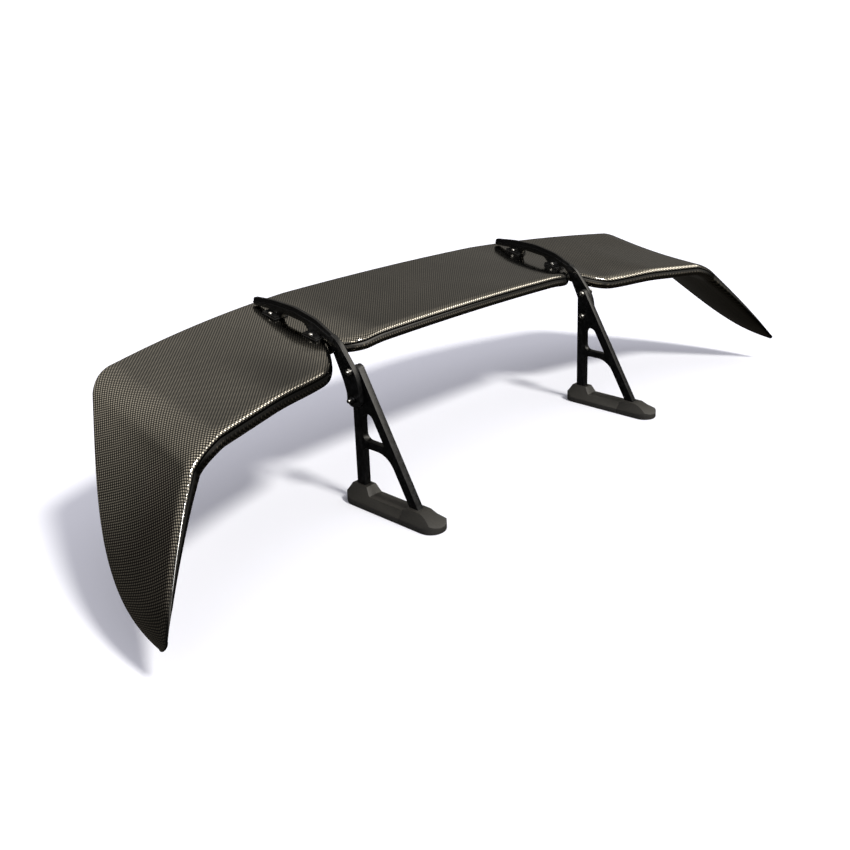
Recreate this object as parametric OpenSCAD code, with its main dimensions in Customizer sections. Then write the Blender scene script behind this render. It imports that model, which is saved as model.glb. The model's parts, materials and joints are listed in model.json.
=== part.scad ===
// Racing rear wing. A hollow blade with drooped ends hangs from two swan-neck arms.
// Each arm turns on the head of a triangular upright, and a second bolt locks it in an arc slot.
// +X runs along the span, +Y points to the rear (trailing edge) and +Z points up.
// The origin lies on the ground, at the centre of the four bolt holes in the feet.

/* [Blade] */
// Overall width, from tip to tip
span = 1600; // [1560:10:1700]
// Wall thickness of each moulded skin
skin_t = 1.2; // [1:0.1:1.5]
// Height of the trailing edge in the middle
tail_z = 311; // [306:1:316]
// Lowest point of the drooped ends
tip_z = 57; // [52:1:70]
// Rise of the blade from front to rear in the middle, per millimetre
mid_rise = 0.146; // [0.13:0.005:0.16]
// Extra rise of the blade outboard of the arms
outer_rise = 0.045; // [0.039:0.003:0.054]

/* [Arms] */
// Thickness of the swan-neck plates
arm_t = 9; // [8:0.5:9.5]
// Thickness of the raised rib along an arm's top edge
rib_t = 5; // [4:0.5:6]
// Size of a mounting pad across the arm
pad_w = 27; // [26:1:29]
// Thickness of a mounting pad
pad_t = 3; // [2.5:0.5:3]
// Steepest tail-down turn of the blade from its middle setting, in degrees
turn_down = 4; // [1:0.5:4]
// Steepest tail-up turn of the blade from its middle setting, in degrees
turn_up = 8; // [1:0.5:8]

/* [Uprights] */
// Distance between the middle planes of the two uprights
upright_gap = 620; // [610:2:624]
// Thickness of the upright plates
plate_t = 12; // [10:0.5:12]
// Height of the pivot bolts
pivot_z = 233; // [231:1:235]
// Slope of the front leg, in degrees
leg_slope = 60; // [59.5:0.25:60.5]
// Width of the front leg
front_leg_w = 17; // [16:0.5:20]
// Width of the rear leg
rear_leg_w = 19; // [18:0.5:20]

/* [Feet] */
// Length of a foot
foot_len = 210; // [204:2:216]
// Width of a foot
foot_w = 48; // [46:1:52]
// Thickness of the steel base plates
base_t = 7; // [5:0.5:7]
// Thickness of the rubber under a foot
rubber_t = 1.5; // [1:0.5:2]
// Distance between the two bolt holes of a foot
bolt_gap = 172; // [170:1:176]

/* [Fasteners] */
// Thread diameter of the pivot and lock bolts
bolt_d = 6; // [6:1:8]
// Thread diameter of the pad screws
screw_d = 4; // [3.5:0.5:4.5]

/* [Hidden] */
$fn = 48;

carbon = [0.14, 0.13, 0.12];
carbon_dull = [0.09, 0.09, 0.09];
anodised = [0.03, 0.03, 0.032];
bare_alloy = [0.72, 0.73, 0.74];
dark_plastic = [0.17, 0.165, 0.15];
dark_steel = [0.12, 0.12, 0.125];
bright_steel = [0.75, 0.75, 0.76];
black_rubber = [0.05, 0.05, 0.05];

touch = 0.05;      // gap between parts that rest on each other
run_gap = 0.3;     // gap between parts that turn past each other
fit_gap = 0.05;    // radial clearance of a bolt in its bore
cut = 1;           // how far a cutter runs past a surface

// ---------- small helpers ----------

function ease(u) = let (c = min(max(u, 0), 1)) c * c * (3 - 2 * c);
function unit(v) = v / norm(v);
function mirror_x(p, side) = [side * p.x, p.y, p.z];

// Points along a quadratic or cubic curve
function curve2(a, b, c, t) = a * (1 - t) * (1 - t) + b * 2 * t * (1 - t) + c * t * t;
function curve3(a, b, c, d, t) =
    a * pow(1 - t, 3) + b * 3 * t * pow(1 - t, 2) + c * 3 * t * t * (1 - t) + d * pow(t, 3);

// Outline with rounded corners; each corner is [y, z, radius], counter-clockwise
arc_steps = 7;
function cross2(a, b) = a.x * b.y - a.y * b.x;
function corner_arc(before, corner, after, r) =
    r == 0 ? [corner] :
    let (
        back = unit(before - corner),
        ahead = unit(after - corner),
        half = acos(back * ahead) / 2,
        middle = corner + unit(back + ahead) * r / sin(half),
        turn = sign(cross2(ahead, back)),
        first = corner + back * r / tan(half) - middle,
        sweep = turn * (180 - 2 * half)
    )
    [for (k = [0 : arc_steps])
        let (a = sweep * k / arc_steps)
        middle + [first.x * cos(a) - first.y * sin(a), first.x * sin(a) + first.y * cos(a)]];
function rounded(corners) =
    let (n = len(corners))
    [for (i = [0 : n - 1])
        let (p = corners[i], a = corners[(i + n - 1) % n], b = corners[(i + 1) % n])
        each corner_arc([a.x, a.y], [p.x, p.y], [b.x, b.y], p.z)];

// A side view, drawn as [y, z], pushed out along X
module side_plate(x, t) {
    translate([x, 0, 0]) rotate([90, 0, 90]) linear_extrude(t) children();
}

module cross_bore(x, length, y, z, r) {
    translate([x, y, z]) rotate([0, 90, 0]) cylinder(h = length, r = r);
}

module on_side(side) {
    if (side < 0) mirror([1, 0, 0]) children();
    else children();
}

module on_both_sides() {
    children();
    mirror([1, 0, 0]) children();
}

module ring(outer_r, inner_r, h) {
    difference() {
        cylinder(h = h, r = outer_r);
        translate([0, 0, -cut]) cylinder(h = h + 2 * cut, r = inner_r);
    }
}

// ---------- blade: leading and trailing edges ----------

half_span = span / 2;
nose_y = 91;           // leading edge between the arms
notch_y = 120;         // leading edge where it steps back around an arm
notch_start = 262;     // where that step begins
notch_x = 316;         // inboard end of the deepest part, which clears the arm
notch_end = 328;       // outboard end of the deepest part
notch_out = 70;        // length of the curve back to the swept edge
fold_x = 628;          // where the blade starts to bend down
tail_y = 331;          // trailing edge in the middle
tail_drop = 19;        // fall of the trailing edge at 600 mm from the middle
wide = half_span - 800;  // how much longer each half is than the middle size

// Leading edge seen from above: straight, stepped back at the arm, then forward and swept
function swept_nose_y(x) = 24 - 0.3 * (x - 500);
function nose_y_at(x) =
    x < notch_start ? nose_y :
    x < notch_x ? nose_y + (notch_y - nose_y) * pow((x - notch_start) / (notch_x - notch_start), 2) :
    x < notch_end ? notch_y :
    let (u = min((x - notch_end) / notch_out, 1))
    notch_y + (swept_nose_y(x) - notch_y) * (1 - pow(1 - u, 2.4));

// Trailing edge seen from above and from behind
function tail_y_at(x) = let (t = max(x - 250, 0)) tail_y - 0.1 * t - 0.00034 * t * t;
function tail_z_at(x) = tail_z - 2 - tail_drop * pow(x / 600, 2);

// Front-to-rear slope of the blade: it steepens past the arms, then eases a little
function rise_at(x) =
    mid_rise + (outer_rise + 0.036) * ease((x - 230) / 150) - 0.036 * ease((x - 380) / 140);

function nose_in(x) =
    [x, nose_y_at(x), tail_z_at(x) - rise_at(x) * (tail_y_at(x) - nose_y_at(x))];
function tail_in(x) = [x, tail_y_at(x), tail_z_at(x)];

// The fold and the drooped end, as smooth curves that carry on from the flat part
fold_steps = 6;
end_steps = 13;
cap_steps = 4;         // rows of the rounded tip
cap_turn = 80;         // how far the tip's rounding turns, in degrees
cap_reach = 7;         // how far the rounding stands out
cap_way = unit([0.31, -0.82, -0.49]);
function capped(k, from, to) =
    let (a = cap_turn * (k - 2))
    (from + to) / 2 + (from - to) / 2 * cos(a) + cap_way * cap_reach * sin(a);
function nose_out(k) =
    k > 2 ? capped(k, nose_out(2), tail_out(2)) :
    let (a = nose_in(fold_x), c = [680 + wide, -29, 213], tip = [half_span - 5, -122, tip_z + 8])
    k <= 1
        ? curve2(a, [661 + wide, a.y - 9, a.z - 9], c, k)
        : curve2(c, [747 + wide, -78, 141], tip, k - 1);
function tail_out(k) =
    k > 2 ? capped(k, tail_out(2), nose_out(2)) :
    let (a = tail_in(fold_x), c = [679 + wide, 214, 264], tip = [half_span + 2, -113, tip_z - 3])
    k <= 1
        ? curve2(a, [659 + wide, a.y - 4, a.z - 3], c, k)
        : curve3(c, [755 + wide, 87, 168], [802 + wide, 24, tip_z + 17], tip, k - 1);

// One number s runs from the middle (0) past the fold (fold_x) to the tip (fold_x + 3)
last_s = fold_x + 3;
function nose_at(s) = s < 0 ? mirror_x(nose_at(-s), -1) : s <= fold_x ? nose_in(s) : nose_out(s - fold_x);
function tail_at(s) = s < 0 ? mirror_x(tail_at(-s), -1) : s <= fold_x ? tail_in(s) : tail_out(s - fold_x);

half_rows = concat(
    [for (i = [0 : 5]) 46 * i],
    [for (i = [1 : 8]) 230 + (notch_x - 230) * i / 8],
    [notch_end],
    [for (i = [1 : 9]) notch_end + notch_out * i / 9],
    [for (i = [1 : 5]) notch_end + notch_out + (fold_x - notch_end - notch_out) * i / 5],
    [for (i = [1 : fold_steps]) fold_x + i / fold_steps],
    [for (i = [1 : end_steps]) fold_x + 1 + i / end_steps],
    [for (i = [1 : cap_steps]) fold_x + 2 + i / cap_steps]
);
rows = concat([for (i = [len(half_rows) - 1 : -1 : 1]) -half_rows[i]], half_rows);

// ---------- blade: section ----------

tail_half = 1.7;      // half thickness at the trailing edge
upper_rate = 0.030;   // upper half thickness gained per millimetre of chord
lower_rate = 0.064;   // lower half thickness gained per millimetre of chord
belly = 4;            // extra roundness of the underside
nose_len = 15;        // length of the rounded nose
nose_bulge = 8;       // how far the underside swells forward below the seam
bow_middle = 1.5;     // hollow of the upper surface in the middle
bow_end = 5;          // hollow of the upper surface at the fold and beyond
seam = 0.15;          // glue line between the skins

function nose_share(chord) = min(nose_len / chord, 0.4);
function nose_curve(u, share) = u >= share ? 1 : sqrt(1 - pow(1 - u / share, 2));
function half_up(u, c) =
    seam / 2 + nose_curve(u, nose_share(c)) * min(1, c / 70) * (tail_half + upper_rate * c * (1 - u));
function half_down(u, c) =
    seam / 2 + nose_curve(u, nose_share(c)) * min(1, c / 70)
        * (tail_half + lower_rate * c * (1 - u) + belly * min(1, c / 200) * sin(180 * u));
function half_at(u, c, up) = up > 0 ? half_up(u, c) : half_down(u, c);

// Outline of one skin in the section's plane: close points round the nose, then even steps
nose_points = 5;
flat_points = 8;
function skin_outline(c, up, swell) =
    let (m = nose_share(c))
    concat(
        [for (j = [0 : nose_points])
            let (a = 90 * j / nose_points, u = m * (1 - cos(a)))
            [u * c - swell * sin(2 * a), half_at(u, c, up)]],
        [for (j = [1 : flat_points])
            let (u = m + (1 - m) * j / flat_points)
            [u * c, half_at(u, c, up)]]
    );

// Direction at right angles to the blade's surface at s
function small_step(s) = abs(s) < fold_x ? 0.5 : 0.02;
function normal_at(s) =
    let (
        d = small_step(s),
        front = min(s + d, last_s),
        back = max(s - d, -last_s),
        along = nose_at(front) + tail_at(front) - nose_at(back) - tail_at(back)
    )
    unit(cross(along, tail_at(s) - nose_at(s)));

// A point of the section at s: u along the chord, h above its bowed middle line
function bow_at(s, c) =
    (bow_middle + (bow_end - bow_middle) * ease((abs(s) - 350) / 280)) * min(1, c / 240);
function blade_point(s, u, h, n) =
    let (c = norm(tail_at(s) - nose_at(s)))
    nose_at(s) + (tail_at(s) - nose_at(s)) * u + n * (h - bow_at(s, c) * sin(180 * u));

// The swelling below the nose halves past the fold
function swell_at(s, c) = nose_bulge * min(1, c / 240) * (1 - ease(abs(s) - fold_x) / 2);

function skin_ring(s, up) =
    let (
        n = normal_at(s),
        c = norm(tail_at(s) - nose_at(s)),
        out = skin_outline(c, up, up > 0 ? 0 : swell_at(s, c)),
        last = len(out) - 1,
        slopes = [for (j = [0 : last])
            j == 0 ? [0, 1] : unit(out[min(j + 1, last)] - out[j - 1])],
        inner = [for (j = [0 : last])
            let (q = out[j] + skin_t * [slopes[j].y, -slopes[j].x])
            [min(q.x, c), max(q.y, seam / 2)]]
    )
    concat(
        [for (q = out) blade_point(s, q.x / c, q.y * up, n)],
        [for (j = [last : -1 : 0]) blade_point(s, inner[j].x / c, inner[j].y * up, n)]
    );

// Solid stretched over a row of rings that all have the same number of points.
// Its end faces are cut into narrow strips between the outer and the inner line.
function strip_ends(count, size, flip) =
    let (half = size / 2)
    concat(
        [for (j = [0 : half - 2])
            let (q = [j, j + 1, size - 2 - j, size - 1 - j])
            each flip ? [[q[2], q[1], q[0]], [q[3], q[2], q[0]]] : [[q[0], q[1], q[2]], [q[0], q[2], q[3]]]],
        [for (j = [0 : half - 2])
            let (q = [for (k = [j, j + 1, size - 2 - j, size - 1 - j]) (count - 1) * size + k])
            each flip ? [[q[0], q[1], q[2]], [q[0], q[2], q[3]]] : [[q[2], q[1], q[0]], [q[3], q[2], q[0]]]]
    );
function side_faces(count, size, flip) =
    [for (i = [0 : count - 2]) for (j = [0 : size - 1])
        let (a = i * size + j, b = i * size + (j + 1) % size)
        each flip
            ? [[a, b, b + size], [a, b + size, a + size]]
            : [[a, b + size, b], [a, a + size, b + size]]];

module lofted(rings, flip) {
    size = len(rings[0]);
    polyhedron(
        points = [for (r = rings) each r],
        faces = concat(side_faces(len(rings), size, flip), strip_ends(len(rings), size, flip))
    );
}

module skin(up) {
    lofted([for (s = rows) skin_ring(s, up)], up > 0);
}

// ---------- blade: parts between the skins ----------

core_gap = 0.35;    // gap between an inner part and a skin

// Ring of an inner part from chord fraction a to b at s
function core_ring(s, a, b, parts) =
    let (n = normal_at(s), c = norm(tail_at(s) - nose_at(s)), less = skin_t + core_gap)
    concat(
        [for (k = [0 : parts]) let (u = a + (b - a) * k / parts) blade_point(s, u, half_up(u, c) - less, n)],
        [for (k = [parts : -1 : 0]) let (u = a + (b - a) * k / parts) blade_point(s, u, less - half_down(u, c), n)]
    );

front_spar_u = 0.36;
rear_spar_u = 0.58;
spar_web = 0.012;

module spar(u) {
    lofted([for (s = rows) if (abs(s) <= fold_x + 1.4) core_ring(s, u, u + spar_web, 1)], true);
}

rib_places = [60, 180, 280, 460, 590];
rib_wall = 3;
spar_gap = 0.004;

module wing_rib(x) {
    lofted(
        [for (s = [x, x + rib_wall]) core_ring(s, front_spar_u + spar_web + spar_gap, rear_spar_u - spar_gap, 5)],
        true
    );
}

// ---------- arms ----------

pivot_y = 71;
lock_r = 48;                                    // distance from the pivot to the lock bolt
lock_y = pivot_y;
lock_z = pivot_z - lock_r;
plate_in = upright_gap / 2 - plate_t / 2;       // inboard face of an upright
plate_out = upright_gap / 2 + plate_t / 2;      // outboard face of an upright
spacer_t = 1.5;
arm_in = plate_out + spacer_t + run_gap;        // inboard face of an arm
arm_out = arm_in + arm_t;
arm_mid = arm_in + arm_t / 2;
bore_r = bolt_d / 2 + fit_gap;
slot_r = bolt_d / 2 + run_gap;

// Side view of an arm, as [y, z, radius] from the pivot
tongue = [[-16, -60, 12], [12, -60, 12]];
neck_rear = [[12, -38, 20], [18, -20, 40], [28, 1, 60]];
neck_arch = [[44, 33, 24], [60, 48, 5], [70, 47, 3]];
front_web = [[74, 38.5, 0], [93, 42.5, 0]];
window = [[99, 50, 8], [109, 62, 18], [166, 70, 10]];
rear_web = [[170, 60, 0], [191, 64, 0]];
tail_edge = [[203, 71, 10], [242, 72, 5.5]];
top_edge = [[248, 84.5, 5.5], [192, 87, 120], [135, 84, 160], [82, 72, 90]];
neck_front = [[29, 46, 60], [-13.5, -6, 60], [-17, -38, 40]];
arm_corners = concat(tongue, neck_rear, neck_arch, front_web, window, rear_web, tail_edge, top_edge, neck_front);

// The rib strip is the part of the arm above this line
rib_line = [[300, 76], [192, 79.5], [135, 76], [84, 64.5], [48, 49], [36, 60], [36, 140], [300, 140]];

// Chord fractions of the pads on the blade's upper surface
front_pad_y = 158;
rear_pad_y = 262;
pad_len = 33;
pad_gasket_t = 1.5;
screw_from_arm = 9.6;

// Where the blade's top surface lies at x and y, and which way it faces
function chord_at(x) = norm(tail_in(x) - nose_in(x));
function top_point(x, y) =
    let (u = (y - nose_in(x).y) / (tail_in(x).y - nose_in(x).y))
    blade_point(x, u, half_up(u, chord_at(x)), normal_at(x));
function top_normal(x, y) =
    unit(cross(top_point(x + 9, y) - top_point(x - 9, y), top_point(x, y + 9) - top_point(x, y - 9)));

// Puts its children on the blade's top surface, with +Z pointing away from it
module on_blade(x, y) {
    n = top_normal(x, y);
    translate(top_point(x, y))
        rotate([atan2(-n.y, n.z), 0, 0])
            rotate([0, asin(n.x), 0])
                children();
}

module pad_shape(grow) {
    translate([-pad_w / 2 - grow, -pad_len / 2 - grow])
        square([pad_w + 2 * grow, pad_len + 2 * grow]);
}

module at_pads() {
    for (y = [front_pad_y, rear_pad_y])
        on_blade(arm_mid, y)
            children();
}

module at_pad_screws() {
    at_pads()
        for (dx = [-1, 1])
            translate([dx * screw_from_arm, 0, 0])
                children();
}

pad_gap = 0.35;                                 // the pad follows a slightly twisted surface
pad_base = pad_gap + pad_gasket_t + touch;
pad_top = pad_base + pad_t;
washer_t = 1;
head_base = pad_top + 2 * touch + washer_t;

module arm_outline() {
    translate([pivot_y, pivot_z]) polygon(rounded(arm_corners));
}

module arm_rib_zone() {
    translate([pivot_y, pivot_z]) polygon(rib_line);
}

// Outline of the lock bolt's slot, seen from the side: an arc about the pivot with round ends
slot_steps = 10;
function from_pivot(r, a) = [pivot_y + r * sin(a), pivot_z - r * cos(a)];
function slot_end(a, first) =
    [for (k = [0 : slot_steps])
        let (b = a + first + 180 * k / slot_steps)
        from_pivot(lock_r, a) + slot_r * [sin(b), -cos(b)]];
function slot_side(r, a, b) =
    [for (k = [1 : slot_steps - 1]) from_pivot(r, a + (b - a) * k / slot_steps)];
module arc_slot() {
    side_plate(arm_in - cut, arm_t + 2 * cut)
        polygon(concat(
            slot_end(turn_down, 0),
            slot_side(lock_r - slot_r, turn_down, -turn_up),
            slot_end(-turn_up, 180),
            slot_side(lock_r + slot_r, -turn_up, turn_down)
        ));
}

module arm() {
    difference() {
        union() {
            side_plate(arm_in, arm_t)
                difference() {
                    arm_outline();
                    arm_rib_zone();
                }
            side_plate(arm_mid - rib_t / 2, rib_t)
                arm_outline();
            at_pads()
                translate([0, 0, pad_base])
                    linear_extrude(pad_t)
                        pad_shape(0);
        }
        at_pads()
            translate([0, 0, pad_base - 8])
                linear_extrude(8)
                    pad_shape(4);
        cross_bore(arm_in - cut, arm_t + 2 * cut, pivot_y, pivot_z, bore_r);
        arc_slot();
        at_pad_screws()
            cylinder(h = pad_top + cut, r = screw_d / 2 + 0.25);
    }
}

module pad_gasket_set() {
    at_pads()
        difference() {
            translate([0, 0, pad_gap])
                linear_extrude(pad_gasket_t)
                    pad_shape(0.8);
            for (dx = [-1, 1])
                translate([dx * screw_from_arm, 0, 0])
                    cylinder(h = pad_top, r = screw_d / 2 + 0.25);
        }
}

// Socket-head screw: threaded end down, head above z = 0
screw_head_r = screw_d * 0.9;
screw_head_h = screw_d * 0.55;
screw_len = 15;
module domed_head(r, h, socket) {
    difference() {
        rotate_extrude()
            polygon(concat([[0, 0], [r, 0]],
                [for (k = [1 : 6]) [r * cos(15 * k), h * (0.25 + 0.75 * sin(15 * k))]]));
        translate([0, 0, h * 0.4])
            cylinder(h = h, r = socket, $fn = 6);
    }
}

module pad_screw() {
    translate([0, 0, head_base]) {
        domed_head(screw_head_r, screw_head_h, screw_d * 0.32);
        translate([0, 0, -screw_len])
            cylinder(h = screw_len + touch, r = screw_d / 2);
    }
}

// ---------- uprights ----------

head_r = 10;
head_y = pivot_y + 1;
head_z = pivot_z - 2;
leg_z = rubber_t + base_t + 2 * touch;
head_apex = [head_y + head_r, head_z + head_r / tan((90 - leg_slope) / 2)];
rear_leg_y = head_apex.x - rear_leg_w;
function front_edge_y(z) = head_apex.x - (head_apex.y - z) / tan(leg_slope);
function inner_edge_y(z) = front_edge_y(z) + front_leg_w / sin(leg_slope);
window_low_z = 114;
brace_low_z = 102;
window_top_r = 14;
brace_bend_r = 42;
hole_apex_z = head_apex.y - (head_apex.x + front_leg_w / sin(leg_slope) - rear_leg_y) * tan(leg_slope);

module upright_outline() {
    difference() {
        polygon(rounded([
            [head_apex.x, leg_z, 0],
            [head_apex.x, head_apex.y, head_r],
            [front_edge_y(leg_z), leg_z, 0]
        ]));
        polygon(rounded([
            [rear_leg_y, window_low_z, 12],
            [rear_leg_y, hole_apex_z, window_top_r],
            [inner_edge_y(window_low_z), window_low_z, 2]
        ]));
        polygon(rounded([
            [rear_leg_y, leg_z - cut, 0],
            [rear_leg_y, brace_low_z, 9],
            [inner_edge_y(brace_low_z), brace_low_z, brace_bend_r],
            [inner_edge_y(leg_z - cut), leg_z - cut, 0]
        ]));
    }
}

rear_screw_y = head_apex.x - rear_leg_w / 2;
front_screw_shift = 3.5;    // the leg leans back above its foot
front_screw_y = (front_edge_y(leg_z) + inner_edge_y(leg_z)) / 2 + front_screw_shift;
leg_screw_r = 3;
leg_screw_depth = 16;

module upright() {
    difference() {
        side_plate(plate_in, plate_t)
            upright_outline();
        for (z = [pivot_z, lock_z])
            cross_bore(plate_in - cut, plate_t + 2 * cut, pivot_y, z, bore_r);
        for (y = [rear_screw_y, front_screw_y])
            translate([upright_gap / 2, y, leg_z - cut])
                cylinder(h = leg_screw_depth + cut, r = leg_screw_r + fit_gap);
    }
}

// ---------- feet ----------

plate_inset = 4.5;
cover_wall = 2.5;
cover_z = rubber_t + touch;
edge_z = 10;          // top of a cover's upright rim
deck_z = 20.5;        // flat deck between the legs
tower_z = 34;         // top of the raised end round the rear leg
socket_z = 26;        // top of the raised end round the front leg
half_len = foot_len / 2;

module foot_plan(inset) {
    r = foot_w / 2 - inset;
    reach = half_len - inset - r;
    translate([-r, -reach]) square([2 * r, 2 * reach]);
    for (y = [-reach, reach])
        translate([0, y]) circle(r = r, $fn = 96);
}

// Side and end views of a foot cover, drawn smaller by d for its hollow
module cover_side(d) {
    polygon([
        [-half_len + d, 0], [half_len - d, 0], [half_len - d, edge_z - d * 0.4],
        [89 - d * 0.5, tower_z - d], [56 + d * 0.6, tower_z - d], [47 + d * 0.4, deck_z - d],
        [-28, deck_z - d], [-38 - d * 0.3, socket_z - d], [-68 + d * 0.3, socket_z - d],
        [-half_len + d, edge_z - d * 0.4]
    ]);
}

module cover_end(d) {
    w = foot_w / 2 - d;
    polygon([
        [-w, 0], [w, 0], [w, edge_z - d * 0.4], [w - 10, deck_z - d * 0.6],
        [w - 14, tower_z + 2], [14 - w, tower_z + 2], [10 - w, deck_z - d * 0.6], [-w, edge_z - d * 0.4]
    ]);
}

module cover_block(d) {
    intersection() {
        linear_extrude(tower_z + cut) foot_plan(d);
        side_plate(-foot_w, 2 * foot_w) cover_side(d);
        rotate([90, 0, 0]) linear_extrude(2 * foot_len, center = true) cover_end(d);
    }
}

leg_clear = 0.4;
split_y = -31;        // step line across the deck
split_w = 1.2;
split_depth = 0.7;

module foot_cover() {
    translate([upright_gap / 2, 0, 0])
        difference() {
            cover_block(0);
            translate([0, 0, -cut])
                linear_extrude(cover_z + cut) foot_plan(-cut);
            cover_block(cover_wall);
            difference() {
                translate([-foot_w, split_y - split_w / 2, 0])
                    cube([2 * foot_w, split_w, 2 * tower_z]);
                cover_block(split_depth);
            }
            side_plate(-plate_t / 2 - leg_clear, plate_t + 2 * leg_clear)
                polygon([
                    [rear_leg_y - leg_clear, 0], [head_apex.x + leg_clear, 0],
                    [head_apex.x + leg_clear, 2 * tower_z], [rear_leg_y - leg_clear, 2 * tower_z]
                ]);
            side_plate(-plate_t / 2 - leg_clear, plate_t + 2 * leg_clear)
                polygon([
                    [front_edge_y(0) - leg_clear, 0], [inner_edge_y(0) + leg_clear, 0],
                    [inner_edge_y(2 * tower_z) + leg_clear, 2 * tower_z],
                    [front_edge_y(2 * tower_z) - leg_clear, 2 * tower_z]
                ]);
        }
}

thread_r = 3.4;

module at_foot_bolts() {
    for (y = [-bolt_gap / 2, bolt_gap / 2])
        translate([0, y, 0])
            children();
}

countersink = 3;

module base_plate() {
    translate([upright_gap / 2, 0, 0])
        difference() {
            translate([0, 0, rubber_t + touch])
                linear_extrude(base_t) foot_plan(plate_inset);
            at_foot_bolts()
                cylinder(h = 2 * leg_z, r = thread_r);
            for (y = [rear_screw_y, front_screw_y])
                translate([0, y, 0]) {
                    cylinder(h = 2 * leg_z, r = leg_screw_r + 0.3);
                    cylinder(h = rubber_t + touch + countersink + 0.3, r = 2 * leg_screw_r + 0.3);
                }
        }
}

module foot_gasket() {
    translate([upright_gap / 2, 0, 0])
        difference() {
            linear_extrude(rubber_t) foot_plan(0.4);
            at_foot_bolts()
                translate([0, 0, -cut])
                    cylinder(h = rubber_t + 2 * cut, r = thread_r);
        }
}

module leg_screw() {
    difference() {
        union() {
            cylinder(h = countersink, r = 2 * leg_screw_r);
            cylinder(h = base_t + leg_screw_depth - 4, r = leg_screw_r);
        }
        translate([0, 0, -cut])
            cylinder(h = cut + 2, r = leg_screw_r * 0.7, $fn = 6);
    }
}

// ---------- pivot and lock fasteners ----------

washer_r = bolt_d;
big_washer_t = 1.2;
head_x = plate_in - 2 * touch - big_washer_t;        // underside of a bolt's head
nut_x = arm_out + run_gap + big_washer_t + touch;    // inner face of a nut
nut_h = bolt_d * 0.8;
nut_across = 1.5 * bolt_d + 1;
bolt_end = nut_x + nut_h + 3;
bolt_head_h = bolt_d * 0.55;
bolt_head_r = bolt_d * 0.875;

module at_bolt(z, x) {
    translate([x, pivot_y, z]) rotate([0, 90, 0]) children();
}

module cross_bolt(z) {
    at_bolt(z, head_x) {
        mirror([0, 0, 1]) domed_head(bolt_head_r, bolt_head_h, bolt_d / 3);
        cylinder(h = bolt_end - head_x, r = bolt_d / 2);
    }
}

module cross_nut(z) {
    at_bolt(z, nut_x)
        difference() {
            cylinder(h = nut_h, d = nut_across / cos(30), $fn = 6);
            translate([0, 0, -cut])
                cylinder(h = nut_h + 2 * cut, r = bore_r);
        }
}

module cross_washer(z, x, t, r) {
    at_bolt(z, x) ring(r, bore_r, t);
}

// ---------- nodes ----------

module blade_screw_holes() {
    on_both_sides()
        at_pad_screws()
            translate([0, 0, -20])
                cylinder(h = 25, r = screw_d / 2 + 0.25, $fn = 24);
}

module wing_upper_skin() {
    color(carbon)
        difference() {
            skin(1);
            blade_screw_holes();
        }
}

module wing_lower_skin() {
    color(carbon) skin(-1);
}

module wing_front_spar() {
    color(carbon_dull) spar(front_spar_u);
}

module wing_rear_spar() {
    color(carbon_dull) spar(rear_spar_u);
}

module wing_ribs() {
    color(carbon_dull)
        for (x = rib_places)
            on_both_sides()
                wing_rib(x);
}

block_rows = [for (s = half_rows) if (s > 300 && s < 345) s];
module hardpoint(a, b) {
    lofted([for (s = block_rows) core_ring(s, a, b, 3)], true);
}

module wing_hardpoints() {
    color(bare_alloy)
        difference() {
            on_both_sides() {
                hardpoint(0.09, front_spar_u - spar_gap);
                hardpoint(0.64, 0.8);
            }
            blade_screw_holes();
        }
}

module left_arm() {
    color(anodised) on_side(-1) arm();
}

module right_arm() {
    color(anodised) on_side(1) arm();
}

module pad_gaskets() {
    color(black_rubber) on_both_sides() pad_gasket_set();
}

module pad_screws() {
    color(bright_steel) on_both_sides() at_pad_screws() pad_screw();
}

module pad_washers() {
    color(bright_steel)
        on_both_sides()
            at_pad_screws()
                translate([0, 0, pad_top + touch])
                    ring(screw_head_r, screw_d / 2 + fit_gap, washer_t);
}

module left_upright() {
    color(anodised) on_side(-1) upright();
}

module right_upright() {
    color(anodised) on_side(1) upright();
}

module left_base_plate() {
    color(dark_steel) on_side(-1) base_plate();
}

module right_base_plate() {
    color(dark_steel) on_side(1) base_plate();
}

module left_foot_cover() {
    color(dark_plastic) on_side(-1) foot_cover();
}

module right_foot_cover() {
    color(dark_plastic) on_side(1) foot_cover();
}

module left_foot_gasket() {
    color(black_rubber) on_side(-1) foot_gasket();
}

module right_foot_gasket() {
    color(black_rubber) on_side(1) foot_gasket();
}

module leg_screws() {
    color(dark_steel)
        on_both_sides()
            for (y = [rear_screw_y, front_screw_y])
                translate([upright_gap / 2, y, rubber_t + 2 * touch])
                    leg_screw();
}

module pivot_bolts() {
    color(bright_steel) on_both_sides() cross_bolt(pivot_z);
}

module pivot_nuts() {
    color(bright_steel) on_both_sides() cross_nut(pivot_z);
}

module lock_bolts() {
    color(bright_steel) on_both_sides() cross_bolt(lock_z);
}

module lock_nuts() {
    color(dark_steel) on_both_sides() cross_nut(lock_z);
}

module head_washers() {
    color(bright_steel)
        on_both_sides()
            for (z = [pivot_z, lock_z])
                cross_washer(z, plate_in - touch - big_washer_t, big_washer_t, washer_r);
}

module spacer_washers() {
    color(black_rubber)
        on_both_sides()
            for (z = [pivot_z, lock_z])
                cross_washer(z, plate_out + touch, spacer_t - touch, washer_r + 1.5);
}

module nut_washers() {
    color(dark_steel)
        on_both_sides()
            for (z = [pivot_z, lock_z])
                cross_washer(z, arm_out + run_gap, big_washer_t, washer_r);
}

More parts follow.
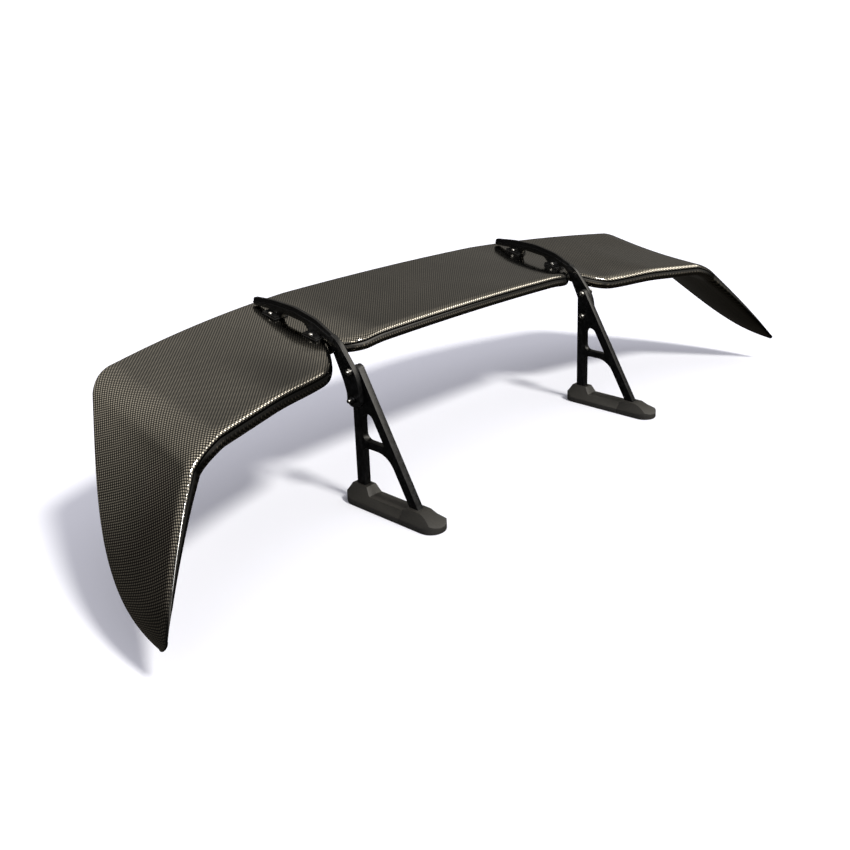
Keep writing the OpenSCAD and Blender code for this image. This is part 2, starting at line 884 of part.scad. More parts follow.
wing_upper_skin();
wing_lower_skin();
wing_front_spar();
wing_rear_spar();
wing_ribs();
wing_hardpoints();
left_arm();
right_arm();
pad_gaskets();
pad_screws();
pad_washers();
left_upright();
right_upright();
left_base_plate();
right_base_plate();
left_foot_cover();
right_foot_cover();
left_foot_gasket();
right_foot_gasket();
leg_screws();
pivot_bolts();
pivot_nuts();
lock_bolts();
lock_nuts();
head_washers();
spacer_washers();
nut_washers();
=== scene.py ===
"""Looks of the racing rear wing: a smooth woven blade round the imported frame, and finishes for its parts."""
import json
import math

import bpy
import numpy as np
from mathutils import Matrix, Vector


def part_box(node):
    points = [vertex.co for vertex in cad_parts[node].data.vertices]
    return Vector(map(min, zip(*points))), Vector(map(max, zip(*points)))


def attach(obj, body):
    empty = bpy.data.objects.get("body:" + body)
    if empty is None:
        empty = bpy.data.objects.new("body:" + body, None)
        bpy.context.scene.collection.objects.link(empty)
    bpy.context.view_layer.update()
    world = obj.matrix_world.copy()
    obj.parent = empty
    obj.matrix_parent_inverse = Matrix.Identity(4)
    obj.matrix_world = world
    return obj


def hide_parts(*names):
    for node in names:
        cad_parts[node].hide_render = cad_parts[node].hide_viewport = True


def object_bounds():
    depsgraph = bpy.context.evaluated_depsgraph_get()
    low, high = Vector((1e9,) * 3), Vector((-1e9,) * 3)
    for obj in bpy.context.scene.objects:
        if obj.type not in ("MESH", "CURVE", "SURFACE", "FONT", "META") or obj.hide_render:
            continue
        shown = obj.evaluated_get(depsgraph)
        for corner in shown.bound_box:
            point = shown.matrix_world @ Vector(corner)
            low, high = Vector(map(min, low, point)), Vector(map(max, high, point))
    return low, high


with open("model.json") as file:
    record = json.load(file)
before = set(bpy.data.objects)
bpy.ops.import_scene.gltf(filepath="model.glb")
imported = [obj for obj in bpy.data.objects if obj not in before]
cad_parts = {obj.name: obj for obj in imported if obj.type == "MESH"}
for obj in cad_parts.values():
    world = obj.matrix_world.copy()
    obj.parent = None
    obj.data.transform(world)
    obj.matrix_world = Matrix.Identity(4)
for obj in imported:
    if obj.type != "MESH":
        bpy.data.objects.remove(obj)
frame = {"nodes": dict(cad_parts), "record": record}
cad_low, cad_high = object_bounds()
MM = 0.001

# ---------------------------------------------------------------- blade shape, in millimetres
# The outlines are those of part.scad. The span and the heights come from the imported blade's box,
# less a little, so the smooth blade lies just inside it.

skin_low, skin_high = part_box("wing_upper_skin")
HALF_SPAN = skin_high.x / MM - 2.97     # reach of the drooped end, before its rounding
TIP_Z = skin_low.z / MM + 3.864         # height of the drooped end there
TAIL_Z = skin_high.z / MM + 0.244       # height of the trailing edge in the middle
TAIL_Y = cad_high.y / MM - 0.268

# Straight middle: slope of the section, and how the trailing edge bends forward and drops.
# Its middle line lies TAIL_BELOW_TOP under the top.
MID_RISE, OUTER_RISE, RISE_BACK = 0.146, 0.045, 0.036
RISE_X, RISE_LEN, RISE_BACK_X, RISE_BACK_LEN = 230, 150, 380, 140
BEND_X, BEND_SLOPE, BEND_CURVE = 250, 0.1, 0.00034
TAIL_BELOW_TOP, TAIL_DROP, TAIL_DROP_X = 2, 19.0, 600

# Leading edge: straight, then a notch behind the arm's neck, then swept to the fold
NOSE_Y, NOTCH_Y = 91.0, 120.0
NOTCH_START, NOTCH_X, NOTCH_END, NOTCH_OUT, NOTCH_POWER = 262.0, 316.0, 328.0, 70.0, 2.4
SWEEP_X, SWEEP_Y, SWEEP_SLOPE = 500, 24, 0.3

# Drooped end: the leading and trailing edges turn down at the fold and run to the tip
FOLD_X = 628.0
NOSE_FOLD_X, NOSE_FOLD_DROP, NOSE_KNEE = 661, 9, (680, -29, 213)
NOSE_SHIN, NOSE_TOE = (747, -78, 141), (HALF_SPAN - 5, -122, TIP_Z + 8)
TAIL_FOLD_X, TAIL_FOLD_IN, TAIL_FOLD_DROP, TAIL_KNEE = 659, 4, 3, (679, 214, 264)
TAIL_SHIN, TAIL_ANKLE = (755, 87, 168), (802, 24, TIP_Z + 17)
TAIL_TOE = (HALF_SPAN + 2, -113, TIP_Z - 3)

# Rounded end, which closes the two edges with part of an ellipse
CAP_WAY = np.array([0.31, -0.82, -0.49])
CAP_WAY /= np.linalg.norm(CAP_WAY)
CAP_TURN, CAP_REACH, CAP_K = math.radians(80), 6.9, 2.0
LAST_S = FOLD_X + CAP_K + 1

# Section: half thicknesses, the belly below, the rounded nose and the bow of the whole section
SKIN_T, SEAM, TAIL_HALF = 1.2, 0.15, 1.7
UPPER_RATE, LOWER_RATE, BELLY = 0.030, 0.064, 4.0
NOSE_LEN, NOSE_SHARE_MAX, NOSE_BULGE = 15.0, 0.4, 8.0
BOW_MIDDLE, BOW_END, BOW_X, BOW_LEN = 1.5, 5.0, 350, 280
FULL_CHORD, BELLY_CHORD, THIN_CHORD = 240, 200, 70

# Mesh: [from, to, rows] along the span, closer where the outline turns; steps round a section
ROW_BANDS = (
    (0, 250, 24), (250, 316, 16), (316, 328, 4), (328, 398, 20), (398, FOLD_X, 24),
    (FOLD_X, FOLD_X + 1, 16), (FOLD_X + 1, FOLD_X + CAP_K, 36), (FOLD_X + CAP_K, LAST_S, 10),
)
NOSE_STEPS, FLAT_STEPS = 9, 30
SLOPE_STEP, FOLD_SLOPE_STEP = 0.5, 0.02
CREASE_ANGLE = 38


def ease(u):
    c = min(max(u, 0.0), 1.0)
    return c * c * (3 - 2 * c)


def curve(points, t):
    """A point of the Bezier curve with these control points."""
    n = len(points) - 1
    return sum(
        math.comb(n, i) * (1 - t) ** (n - i) * t**i * np.array(p, float)
        for i, p in enumerate(points)
    )


def swept_nose_y(x):
    return SWEEP_Y - SWEEP_SLOPE * (x - SWEEP_X)


def nose_y_at(x):
    if x < NOTCH_START:
        return NOSE_Y
    if x < NOTCH_X:
        u = (x - NOTCH_START) / (NOTCH_X - NOTCH_START)
        return NOSE_Y + (NOTCH_Y - NOSE_Y) * u**2
    if x < NOTCH_END:
        return NOTCH_Y
    u = min((x - NOTCH_END) / NOTCH_OUT, 1)
    return NOTCH_Y + (swept_nose_y(x) - NOTCH_Y) * (1 - (1 - u) ** NOTCH_POWER)


def tail_in(x):
    t = max(x - BEND_X, 0)
    return np.array([
        x,
        TAIL_Y - BEND_SLOPE * t - BEND_CURVE * t * t,
        TAIL_Z - TAIL_BELOW_TOP - TAIL_DROP * (x / TAIL_DROP_X) ** 2,
    ])


def rise_at(x):
    gain = (OUTER_RISE + RISE_BACK) * ease((x - RISE_X) / RISE_LEN)
    return MID_RISE + gain - RISE_BACK * ease((x - RISE_BACK_X) / RISE_BACK_LEN)


def nose_in(x):
    tail = tail_in(x)
    y = nose_y_at(x)
    return np.array([x, y, tail[2] - rise_at(x) * (tail[1] - y)])


def capped(k, start, end):
    """Rounded end of the drooped blade, from one edge's last point towards the other's."""
    a = CAP_TURN * (k - CAP_K)
    return (start + end) / 2 + (start - end) / 2 * math.cos(a) + CAP_WAY * CAP_REACH * math.sin(a)


def nose_out(k):
    """Leading edge beyond the fold: k is 0 at the fold, 1 at the knee and 2 at the rounded end."""
    if k > CAP_K:
        return capped(k, nose_out(CAP_K), tail_out(CAP_K))
    if k > 1:
        return curve([NOSE_KNEE, NOSE_SHIN, NOSE_TOE], k - 1)
    fold = nose_in(FOLD_X)
    lead = (NOSE_FOLD_X, fold[1] - NOSE_FOLD_DROP, fold[2] - NOSE_FOLD_DROP)
    return curve([fold, lead, NOSE_KNEE], k)


def tail_out(k):
    """Trailing edge beyond the fold, for the same k."""
    if k > CAP_K:
        return capped(k, tail_out(CAP_K), nose_out(CAP_K))
    if k > 1:
        return curve([TAIL_KNEE, TAIL_SHIN, TAIL_ANKLE, TAIL_TOE], k - 1)
    fold = tail_in(FOLD_X)
    lead = (TAIL_FOLD_X, fold[1] - TAIL_FOLD_IN, fold[2] - TAIL_FOLD_DROP)
    return curve([fold, lead, TAIL_KNEE], k)


def edge(s, inner, outer):
    """A point of an edge at station s: millimetres along X up to the fold, then FOLD_X + k."""
    p = inner(abs(s)) if abs(s) <= FOLD_X else outer(abs(s) - FOLD_X)
    return p * np.array([-1, 1, 1]) if s < 0 else p


def nose_at(s):
    return edge(s, nose_in, nose_out)


def tail_at(s):
    return edge(s, tail_in, tail_out)


def normal_at(s):
    """Direction of a section's height: square to its chord and to the run of the blade."""
    d = SLOPE_STEP if abs(s) < FOLD_X else FOLD_SLOPE_STEP
    ahead, behind = min(s + d, LAST_S), max(s - d, -LAST_S)
    along = nose_at(ahead) + tail_at(ahead) - nose_at(behind) - tail_at(behind)
    n = np.cross(along, tail_at(s) - nose_at(s))
    return n / np.linalg.norm(n)


def nose_share(c):
    """Share of the chord c that the rounded nose takes up."""
    return min(NOSE_LEN / c, NOSE_SHARE_MAX)


def nose_curve(u, share):
    return 1.0 if u >= share else math.sqrt(max(0.0, 1 - (1 - u / share) ** 2))


def half_at(u, c, up):
    """Thickness above (up > 0) or below the chord line, at the share u of the chord c."""
    grow = nose_curve(u, nose_share(c)) * min(1, c / THIN_CHORD)
    if up > 0:
        return SEAM / 2 + grow * (TAIL_HALF + UPPER_RATE * c * (1 - u))
    belly = BELLY * min(1, c / BELLY_CHORD) * math.sin(math.pi * u)
    return SEAM / 2 + grow * (TAIL_HALF + LOWER_RATE * c * (1 - u) + belly)


def bow_at(s, c):
    bow = BOW_MIDDLE + (BOW_END - BOW_MIDDLE) * ease((abs(s) - BOW_X) / BOW_LEN)
    return bow * min(1, c / FULL_CHORD)


def swell_at(s, c):
    return NOSE_BULGE * min(1, c / FULL_CHORD) * (1 - ease(abs(s) - FOLD_X) / 2)


def skin_outline(s, up):
    """The section's outer line as [distance along the chord, height], and the chord."""
    c = np.linalg.norm(tail_at(s) - nose_at(s))
    m, swell = nose_share(c), 0 if up > 0 else swell_at(s, c)
    line = []
    for j in range(NOSE_STEPS + 1):
        a = math.radians(90 * j / NOSE_STEPS)
        u = m * (1 - math.cos(a))
        line.append((u * c - swell * math.sin(2 * a), half_at(u, c, up)))
    for j in range(1, FLAT_STEPS + 1):
        u = m + (1 - m) * j / FLAT_STEPS
        line.append((u * c, half_at(u, c, up)))
    return np.array(line), c


def skin_ring(s, up):
    """The section's outer and inner lines as points in space."""
    out, c = skin_outline(s, up)
    slope = np.gradient(out, axis=0)
    slope[0] = (0, 1)
    slope /= np.linalg.norm(slope, axis=1)[:, None]
    inner = out + SKIN_T * np.stack([slope[:, 1], -slope[:, 0]], 1)
    inner[:, 0] = np.minimum(inner[:, 0], c)
    inner[:, 1] = np.maximum(inner[:, 1], SEAM / 2)
    nose, across, n = nose_at(s), tail_at(s) - nose_at(s), normal_at(s)
    bow = bow_at(s, c)

    def place(line):
        u = line[:, 0] / c
        height = line[:, 1] * up - bow * np.sin(math.pi * u)
        return nose + across * u[:, None] + n * height[:, None]

    return place(out), place(inner)


def blade_rows():
    """Stations of all sections, from the left end to the right."""
    half = [0.0]
    for start, end, rows in ROW_BANDS:
        half += [start + (end - start) * (i + 1) / rows for i in range(rows)]
    return np.array([-s for s in half[:0:-1]] + half)


# ---------------------------------------------------------------- meshes


def mesh_object(name, points, faces, smooth_angle=None):
    mesh = bpy.data.meshes.new(name)
    mesh.from_pydata([tuple(p) for p in points], [], [tuple(f) for f in faces])
    mesh.update()
    obj = bpy.data.objects.new(name, mesh)
    bpy.context.scene.collection.objects.link(obj)
    if smooth_angle is not None:
        mesh.polygons.foreach_set("use_smooth", [True] * len(mesh.polygons))
        mesh.set_sharp_from_angle(angle=math.radians(smooth_angle))
    return obj


def shell_faces(n_rows, n_pts, up):
    """Quads of a closed shell whose rows each hold an outer line and an inner line running back."""
    size = 2 * n_pts
    faces = []
    for i in range(n_rows - 1):
        for j in range(size):
            a, b = i * size + j, i * size + (j + 1) % size
            quad = (a, b, b + size, a + size)
            faces.append(quad if up > 0 else quad[::-1])
    for i in (0, n_rows - 1):
        for j in range(n_pts - 1):
            quad = [i * size + k for k in (j, j + 1, size - 2 - j, size - 1 - j)]
            if (i == 0) == (up > 0):
                quad.reverse()
            faces.append(quad)
    return faces


def cloth_distances(outer):
    """Distances in the cloth at each outer point: across, along the span, and from the joint."""
    n_rows, n_pts = outer.shape[:2]
    # along the section X-Z, so the cloth turns down with the drooped ends
    run = np.zeros((n_rows, n_pts))
    for i in range(1, n_rows):
        run[i] = run[i - 1] + np.linalg.norm((outer[i] - outer[i - 1])[:, [0, 2]], axis=1)
    run -= run[n_rows // 2]
    # round the nose the cloth wraps, so the height adds to the distance across
    wrap = np.zeros((n_rows, n_pts))
    for j in range(NOSE_STEPS - 1, -1, -1):
        d = outer[:, j] - outer[:, j + 1]
        wrap[:, j] = wrap[:, j + 1] + np.linalg.norm(d[:, 1:], axis=1) - np.abs(d[:, 1])
    from_seam = np.zeros((n_rows, n_pts))
    for j in range(1, n_pts):
        d = outer[:, j] - outer[:, j - 1]
        from_seam[:, j] = from_seam[:, j - 1] + np.linalg.norm(d, axis=1)
    return outer[:, :, 1] - wrap, run, from_seam


def blade_skin(name, up):
    """One moulded skin as a closed shell, with UV maps in metres along the cloth and the joint."""
    rings = [skin_ring(s, up) for s in blade_rows()]
    outer = np.array([r[0] for r in rings])
    inner = np.array([r[1] for r in rings])
    n_rows, n_pts = outer.shape[:2]
    points = np.concatenate([outer, inner[:, ::-1]], axis=1).reshape(-1, 3)
    obj = mesh_object(name, points * MM, shell_faces(n_rows, n_pts, up), CREASE_ANGLE)

    def on_both_lines(values):
        return np.concatenate([values, values[:, ::-1]], 1).reshape(-1)

    across, run, from_seam = (on_both_lines(v) for v in cloth_distances(outer))
    loops = np.zeros(len(obj.data.loops), np.int32)
    obj.data.loops.foreach_get("vertex_index", loops)
    for layer_name, u, v in (("cloth", across, run), ("seam", from_seam, from_seam)):
        layer = obj.data.uv_layers.new(name=layer_name)
        uv = np.stack([u[loops], v[loops]], 1) * MM
        layer.data.foreach_set("uv", uv.astype(np.float32).ravel())
    return obj


# ---------------------------------------------------------------- nodes


class Nodes:
    """Short names for building the node tree of a material or a world."""

    def __init__(self, owner):
        owner.use_nodes = True
        self.owner, self.tree = owner, owner.node_tree
        self.tree.nodes.clear()

    def add(self, kind, **settings):
        node = self.tree.nodes.new(kind)
        for key, value in settings.items():
            setattr(node, key, value)
        return node

    def put(self, value, socket):
        if hasattr(value, "is_output"):
            self.tree.links.new(value, socket)
        else:
            socket.default_value = value

    def math(self, operation, a, b=0.0, c=0.0):
        node = self.add("ShaderNodeMath", operation=operation)
        for value, socket in zip((a, b, c), node.inputs):
            self.put(value, socket)
        return node.outputs[0]

    def mix(self, share, a, b):
        node = self.add("ShaderNodeMix", data_type="RGBA")
        self.put(share, node.inputs[0])
        self.put(a, node.inputs[6])
        self.put(b, node.inputs[7])
        return node.outputs[2]

    def noise(self, vector, scale, detail=3.0, rough=0.55):
        node = self.add("ShaderNodeTexNoise")
        self.put(vector, node.inputs["Vector"])
        node.inputs["Scale"].default_value = scale
        node.inputs["Detail"].default_value = detail
        node.inputs["Roughness"].default_value = rough
        return node.outputs[0]

    def stretch(self, vector, scale):
        node = self.add("ShaderNodeMapping")
        self.put(vector, node.inputs["Vector"])
        node.inputs["Scale"].default_value = scale
        return node.outputs[0]

    def ramp(self, value, low, high, to_low=0.0, to_high=1.0):
        node = self.add("ShaderNodeMapRange")
        self.put(value, node.inputs[0])
        for socket, number in zip(node.inputs[1:5], (low, high, to_low, to_high)):
            socket.default_value = number
        return node.outputs[0]

    def bump(self, height, distance, strength):
        node = self.add("ShaderNodeBump")
        node.inputs["Strength"].default_value = strength
        node.inputs["Distance"].default_value = distance
        self.put(height, node.inputs["Height"])
        return node.outputs[0]

    def split(self, vector):
        node = self.add("ShaderNodeSeparateXYZ")
        self.put(vector, node.inputs[0])
        return node.outputs

    def uv(self, layer_name):
        return self.add("ShaderNodeUVMap", uv_map=layer_name).outputs[0]

    def place(self):
        return self.add("ShaderNodeTexCoord").outputs["Object"]

    def worn_edges(self):
        return self.add("ShaderNodeNewGeometry").outputs["Pointiness"]

    def background(self, colour, level):
        node = self.add("ShaderNodeBackground")
        node.inputs[0].default_value = rgb(*colour)
        self.put(level, node.inputs[1])
        return node.outputs[0]

    def shader(self, **inputs):
        node = self.add("ShaderNodeBsdfPrincipled")
        for key, value in inputs.items():
            self.put(value, node.inputs[key.replace("_", " ")])
        self.put(node.outputs[0], self.add("ShaderNodeOutputMaterial").inputs[0])
        return self.owner


def rgb(r, g, b):
    return (r, g, b, 1.0)


def shade(colour, factor):
    return rgb(*[min(1.0, c * factor) for c in colour])


# ---------------------------------------------------------------- finishes, in metres

TOW = 0.0027                              # width of a fibre bundle
CLOTH_DRIFT = (0.0016, 0.0016, 0.0)       # how far the bundles wander
FIBRES_ACROSS, FIBRES_ALONG = 6500.0, 220.0
RESIN_WAVE = 0.002                        # how far the edge of the resin band wanders
WEAVE_DEPTH, COAT_DEPTH = 0.00006, 0.0002
GRAIN_DEPTH, SCRATCH_DEPTH = 0.00004, 0.00002


def carbon_weave(name, bright, dark, gap, resin_from, resin_to):
    """Plain weave of flat bundles under a clear coat, with a dark resin band along the joint; the weave is
    real, its bright and dark bundles are painted sheen.
    """
    n = Nodes(bpy.data.materials.new(name))
    uv = n.uv("cloth")
    drift = n.add("ShaderNodeVectorMath", operation="MULTIPLY_ADD")
    n.put(n.noise(uv, 14.0, 2.0), drift.inputs[0])
    n.put(CLOTH_DRIFT, drift.inputs[1])
    n.put(uv, drift.inputs[2])
    drifted = n.split(drift.outputs[0])
    p = n.math("DIVIDE", drifted[0], TOW)
    q = n.math("DIVIDE", drifted[1], TOW)
    square = n.math("ADD", n.math("FLOOR", p), n.math("FLOOR", q))
    warp_up = n.math("LESS_THAN", n.math("FLOORED_MODULO", square, 2.0), 0.5)
    across_p = n.math("SINE", n.math("MULTIPLY", n.math("FRACT", p), math.pi))
    across_q = n.math("SINE", n.math("MULTIPLY", n.math("FRACT", q), math.pi))
    height = n.math("MULTIPLY", across_p, across_q)
    fibres_p = n.noise(n.stretch(uv, (FIBRES_ACROSS, FIBRES_ALONG, 1.0)), 1.0, 2.0)
    fibres_q = n.noise(n.stretch(uv, (FIBRES_ALONG, FIBRES_ACROSS, 1.0)), 1.0, 2.0)
    fibre = n.mix(warp_up, fibres_q, fibres_p)
    # painted sheen: warp and weft bundles take a bright and a dark colour for the light their fibres throw
    # back, laid over the real weave pattern
    bundle_sheen = n.mix(warp_up, rgb(*dark), rgb(*bright))
    cloth = n.mix(n.ramp(height, 0.05, 0.45), rgb(*gap), bundle_sheen)
    seam = n.split(n.uv("seam"))
    wavy = n.math("MULTIPLY_ADD", n.noise(uv, 60.0, 2.0), RESIN_WAVE, seam[0])
    cloth = n.mix(n.ramp(wavy, resin_from, resin_to), rgb(*gap), cloth)
    streaks = n.ramp(fibre, 0.3, 0.7, 0.7, 1.3)
    vary = n.ramp(n.noise(uv, 7.0, 3.0), 0.3, 0.7, 0.82, 1.16)
    scale = n.add("ShaderNodeVectorMath", operation="SCALE")
    n.put(cloth, scale.inputs[0])
    n.put(n.math("MULTIPLY", streaks, vary), scale.inputs[3])
    return n.shader(
        Base_Color=scale.outputs[0],
        Metallic=1.0,
        Roughness=n.ramp(fibre, 0.3, 0.7, 0.07, 0.14),
        Normal=n.bump(height, WEAVE_DEPTH, 0.5),
        Coat_Weight=0.5,
        Coat_Roughness=0.02,
        Coat_Normal=n.bump(n.noise(n.place(), 40.0, 1.0), COAT_DEPTH, 0.2),
    )


def satin_metal(name, base, worn, metallic, roughness, gloss=0.5):
    """Anodised or plain metal with fine grain and lighter wear along its edges."""
    n = Nodes(bpy.data.materials.new(name))
    where = n.place()
    fine = n.noise(where, 700.0, 4.0)
    broad = n.noise(where, 18.0, 3.0)
    edges = n.ramp(n.worn_edges(), 0.52, 0.6)
    patchy = n.math("MULTIPLY", edges, n.ramp(n.noise(where, 160.0, 3.0), 0.4, 0.62))
    tone = n.mix(n.ramp(broad, 0.3, 0.7), shade(base, 0.85), shade(base, 1.15))
    haze = n.math("ADD", fine, n.math("MULTIPLY", broad, 0.5))
    return n.shader(
        Base_Color=n.mix(patchy, tone, rgb(*worn)),
        Metallic=metallic,
        Specular_IOR_Level=gloss,
        Roughness=n.ramp(haze, 0.4, 1.1, roughness - 0.06, roughness + 0.08),
        Normal=n.bump(fine, GRAIN_DEPTH, 0.5),
    )


def brushed_steel(name, base, roughness):
    """Plated steel with fine marks drawn out along X, the way the pivot and lock bolts lie."""
    n = Nodes(bpy.data.materials.new(name))
    where = n.place()
    lines = n.noise(n.stretch(where, (400.0, 5200.0, 5200.0)), 1.0, 3.0)
    broad = n.noise(where, 120.0, 2.0)
    return n.shader(
        Base_Color=n.mix(n.ramp(broad, 0.3, 0.7), shade(base, 0.82), rgb(*base)),
        Metallic=1.0,
        Roughness=n.ramp(lines, 0.3, 0.7, roughness - 0.07, roughness + 0.1),
        Normal=n.bump(lines, SCRATCH_DEPTH, 0.5),
    )


def moulded(name, base, roughness, grain, depth):
    """Textured plastic or rubber: fine moulded grain, slight mottling and paler rubbed edges."""
    n = Nodes(bpy.data.materials.new(name))
    where = n.place()
    fine = n.noise(where, grain, 4.0, 0.6)
    speck = n.noise(where, grain * 0.35, 2.0)
    edges = n.ramp(n.worn_edges(), 0.5, 0.6, 0.0, 0.6)
    tone = n.mix(n.ramp(speck, 0.35, 0.65), shade(base, 0.75), shade(base, 1.2))
    return n.shader(
        Base_Color=n.mix(edges, tone, shade(base, 1.9)),
        Roughness=n.ramp(fine, 0.3, 0.7, roughness - 0.05, roughness + 0.1),
        Specular_IOR_Level=0.4,
        Normal=n.bump(fine, depth, 0.8),
    )


def grey(level):
    return (level, level, level)


FINISHES = {
    "carbon_skin": carbon_weave(
        "carbon_skin", bright=(0.52, 0.485, 0.415), dark=(0.014, 0.013, 0.012), gap=grey(0.003),
        resin_from=0.003, resin_to=0.008),
    # painted light: the underside's copy of the same carbon, with lighter dark bundles and gaps than the top
    # skin
    "carbon_under_painted_light": carbon_weave(
        "carbon_under_painted_light", bright=(0.5, 0.44, 0.35), dark=(0.05, 0.046, 0.04), gap=grey(0.01),
        resin_from=0.004, resin_to=0.012),
    "carbon_core": moulded("carbon_core", grey(0.03), roughness=0.6, grain=900.0, depth=0.00006),
    "bare_alloy": satin_metal(
        "bare_alloy", (0.62, 0.63, 0.64), worn=grey(0.75), metallic=1.0, roughness=0.35),
    "black_alloy": satin_metal(
        "black_alloy", (0.0018, 0.0018, 0.0019), worn=grey(0.02), metallic=0.0, roughness=0.3,
        gloss=0.34),
    "foot_plastic": moulded(
        "foot_plastic", (0.019, 0.0178, 0.015), roughness=0.5, grain=1500.0, depth=0.00012),
    "black_rubber": moulded("black_rubber", grey(0.008), roughness=0.8, grain=900.0, depth=0.00008),
    "bright_steel": brushed_steel("bright_steel", (0.72, 0.71, 0.69), roughness=0.25),
    "dark_steel": brushed_steel("dark_steel", (0.05, 0.05, 0.053), roughness=0.4),
}


def finish_piece(obj, finish_name):
    obj.data.materials.clear()
    obj.data.materials.append(FINISHES[finish_name])


# ---------------------------------------------------------------- blade
# Both skins keep the part's slot carbon_skin. The underside's copy of the same carbon has less contrast, with
# lighter dark bundles and gaps: painted light on the underside.

BLADE_SKINS = (
    ("blade_upper", "wing_upper_skin", 1, "carbon_skin"),
    ("blade_lower", "wing_lower_skin", -1, "carbon_under_painted_light"),
)
for piece, node, up, finish in BLADE_SKINS:
    skin = blade_skin(piece, up)
    finish_piece(skin, finish)
    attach(skin, "wing")
    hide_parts(node)

# ---------------------------------------------------------------- the frame's own parts

EDGE_WIDTH = {   # millimetres; other parts have SMALL_EDGE, and those inside the blade none
    "left_arm": 0.6, "right_arm": 0.6, "left_upright": 0.8, "right_upright": 0.8,
    "left_foot_cover": 1.2, "right_foot_cover": 1.2,
    "left_foot_gasket": 0.3, "right_foot_gasket": 0.3,
    "pivot_nuts": 0.3, "lock_nuts": 0.3, "pad_gaskets": 0.2,
}
SMALL_EDGE, EDGE_ANGLE, EDGE_SEGMENTS, WELD_GAP = 0.15, 32, 2, 0.00001
SLOT_OF = {row["node"]: row["material_slot"] for row in frame["record"]["subparts"]}
for name, obj in frame["nodes"].items():
    finish_piece(obj, SLOT_OF[name])
    if name.startswith("wing_"):
        continue
    weld = obj.modifiers.new("weld", "WELD")
    weld.merge_threshold = WELD_GAP
    bevel = obj.modifiers.new("edge", "BEVEL")
    bevel.width = EDGE_WIDTH.get(name, SMALL_EDGE) * MM
    bevel.segments = EDGE_SEGMENTS
    bevel.limit_method = "ANGLE"
    bevel.angle_limit = math.radians(EDGE_ANGLE)
    obj.data.polygons.foreach_set("use_smooth", [True] * len(obj.data.polygons))

# ---------------------------------------------------------------- floor

FLOOR_HALF, FLOOR_Z = 30, -0.0002
floor_corners = [
    (x * FLOOR_HALF, y * FLOOR_HALF, FLOOR_Z) for x, y in ((-1, -1), (1, -1), (1, 1), (-1, 1))]
floor = mesh_object("floor", floor_corners, [(0, 1, 2, 3)])
paper = Nodes(bpy.data.materials.new("floor"))
paper_tone = paper.mix(paper.noise(paper.place(), 3.0), rgb(0.93, 0.93, 0.95), rgb(0.95, 0.95, 0.97))
floor.data.materials.append(
    paper.shader(Base_Color=paper_tone, Roughness=0.9, Specular_IOR_Level=0.0))
# the blade's underside reflects the studio, not the bright paper
floor.visible_glossy = False

# ---------------------------------------------------------------- light

PAPER_WHITE = 1.2    # level of the background behind the wing


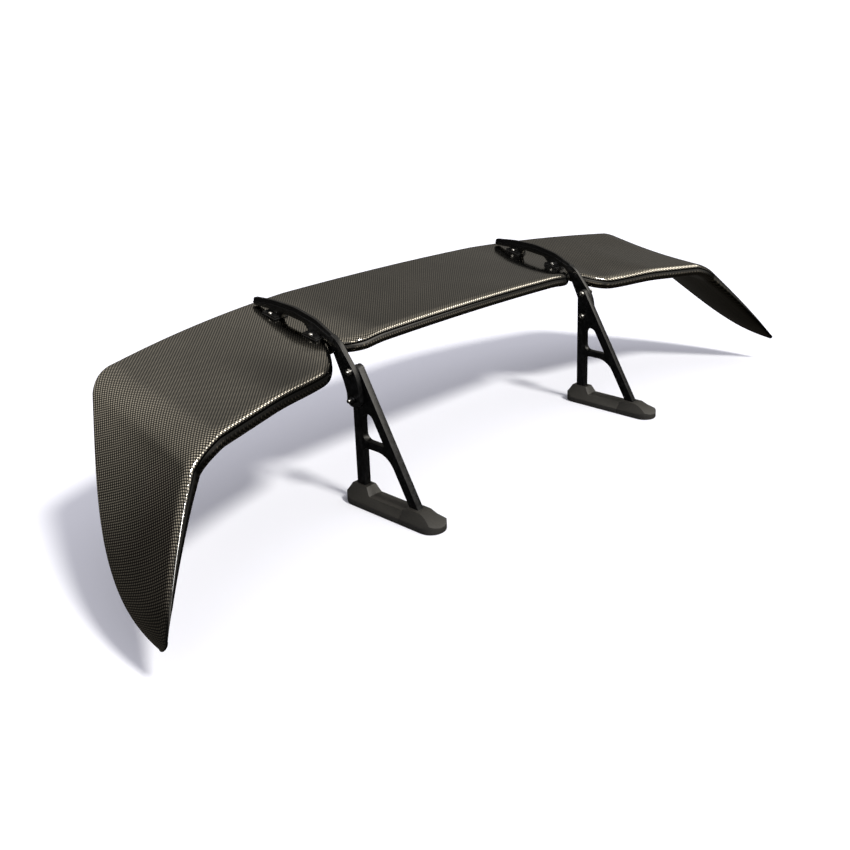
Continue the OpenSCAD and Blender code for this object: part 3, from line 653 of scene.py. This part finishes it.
def studio(world):
    """Even white behind the wing, a soft bluish fill, and bright and dark sides in reflections."""
    n = Nodes(world)
    x, y, z = n.split(n.add("ShaderNodeTexCoord").outputs["Generated"])
    overhead = n.ramp(z, 0.3, 1.0, 0.0, 0.95)
    front = n.math("MULTIPLY", n.ramp(y, -0.2, -0.75, 0.0, 1.1), n.ramp(z, 0.0, 0.25))
    around = n.ramp(x, -0.95, 0.2, 0.06, 0.185)
    strip = n.math("MULTIPLY", n.ramp(z, 0.42, 0.52, 0.0, 5.0), n.ramp(z, 0.8, 0.7))
    strip = n.math("MULTIPLY", strip, n.ramp(y, 0.05, -0.2))
    brightest = n.math("MAXIMUM", n.math("MAXIMUM", overhead, front), n.math("MAXIMUM", around, strip))
    mirrored = n.math("MULTIPLY", brightest, n.ramp(z, -0.2, 0.3, 0.15, 1.0))
    mirror_light = n.background((1.0, 0.95, 0.86), mirrored)
    fill = n.background((0.9, 0.9, 1.0), n.ramp(z, 0.0, 0.9, 0.18, 0.9))
    seen = n.background((1.0, 1.0, 1.0), PAPER_WHITE)
    path = n.add("ShaderNodeLightPath")
    light = fill
    for ray, other in (("Is Glossy Ray", mirror_light), ("Is Camera Ray", seen)):
        choose = n.add("ShaderNodeMixShader")
        n.put(path.outputs[ray], choose.inputs[0])
        n.put(light, choose.inputs[1])
        n.put(other, choose.inputs[2])
        light = choose.outputs[0]
    n.put(light, n.add("ShaderNodeOutputWorld").inputs[0])


bpy.context.scene.world = bpy.data.worlds.new("studio")
studio(bpy.context.scene.world)


def sun(name, direction, strength, angle, colour):
    data = bpy.data.lights.new(name, "SUN")
    data.energy = strength
    data.angle = math.radians(angle)
    data.color = colour
    lamp = bpy.data.objects.new(name, data)
    lamp.rotation_mode = "QUATERNION"
    lamp.rotation_quaternion = Vector(direction).to_track_quat("-Z", "Y")
    bpy.context.scene.collection.objects.link(lamp)


sun("key", direction=(0.0, 0.85, -1.0), strength=2.7, angle=10.0, colour=(1.0, 0.99, 0.97))

# ---------------------------------------------------------------- camera
# It looks at TARGET from the front left, a little above. The shifts are shares of the picture's width.

AZIMUTH, ELEVATION, ROLL = math.radians(-49.022), math.radians(17.119), math.radians(-0.972)
TARGET, DISTANCE = Vector((0, 0.063, 0.2)), 1.79557
SENSOR, LENS, SHIFT_X, SHIFT_Y = 36, 41.4626, -0.075014, -0.094774

level = Vector((math.sin(AZIMUTH), -math.cos(AZIMUTH), 0)) * math.cos(ELEVATION)
back = level + Vector((0, 0, math.sin(ELEVATION)))
right = Vector((math.cos(AZIMUTH), math.sin(AZIMUTH), 0))
upward = back.cross(right)
right_rolled = right * math.cos(ROLL) + upward * math.sin(ROLL)
up_rolled = upward * math.cos(ROLL) - right * math.sin(ROLL)
camera_data = bpy.data.cameras.new("camera")
camera_data.sensor_width, camera_data.lens = SENSOR, LENS
camera_data.shift_x, camera_data.shift_y = SHIFT_X, SHIFT_Y
camera = bpy.data.objects.new("camera", camera_data)
bpy.context.scene.collection.objects.link(camera)
camera.matrix_world = (
    Matrix.Translation(TARGET + back * DISTANCE)
    @ Matrix((right_rolled, up_rolled, back)).transposed().to_4x4()
)
bpy.context.scene.camera = camera
bpy.context.scene.view_settings.view_transform = "Standard"
